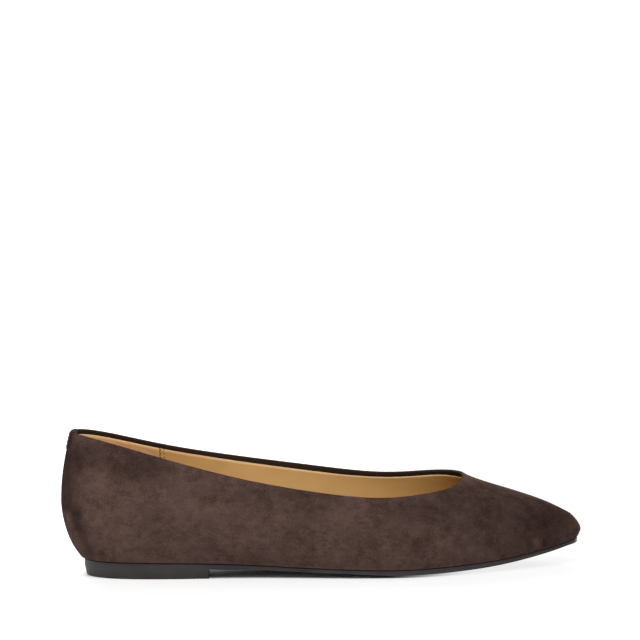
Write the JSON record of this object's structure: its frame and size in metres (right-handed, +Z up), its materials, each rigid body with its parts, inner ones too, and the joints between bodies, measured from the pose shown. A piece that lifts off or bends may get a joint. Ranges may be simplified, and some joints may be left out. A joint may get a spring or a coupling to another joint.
{
  "type": "ballet flat",
  "caption": "Pointed suede ballet flat for the right foot, with a low-cut folded topline, tan sock insole, thin rubber outsole and a low flat heel block.",
  "frame": {"origin": "on the floor, under the middle of the shoe's box", "axes": "+X from the heel to the toe, +Y to the inner side of the foot, +Z up"},
  "size_m": [0.258, 0.0778, 0.0721],
  "materials": {
    "suede": "dark brown napped suede",
    "lining_leather": "smooth tan lining leather",
    "sole_rubber": "dark grey satin rubber"
  },
  "bodies": {
    "root": {"upper": "suede", "back_tab": "suede", "insole": "lining_leather", "outsole": "sole_rubber", "heel": "sole_rubber"}
  },
  "joints": []
}
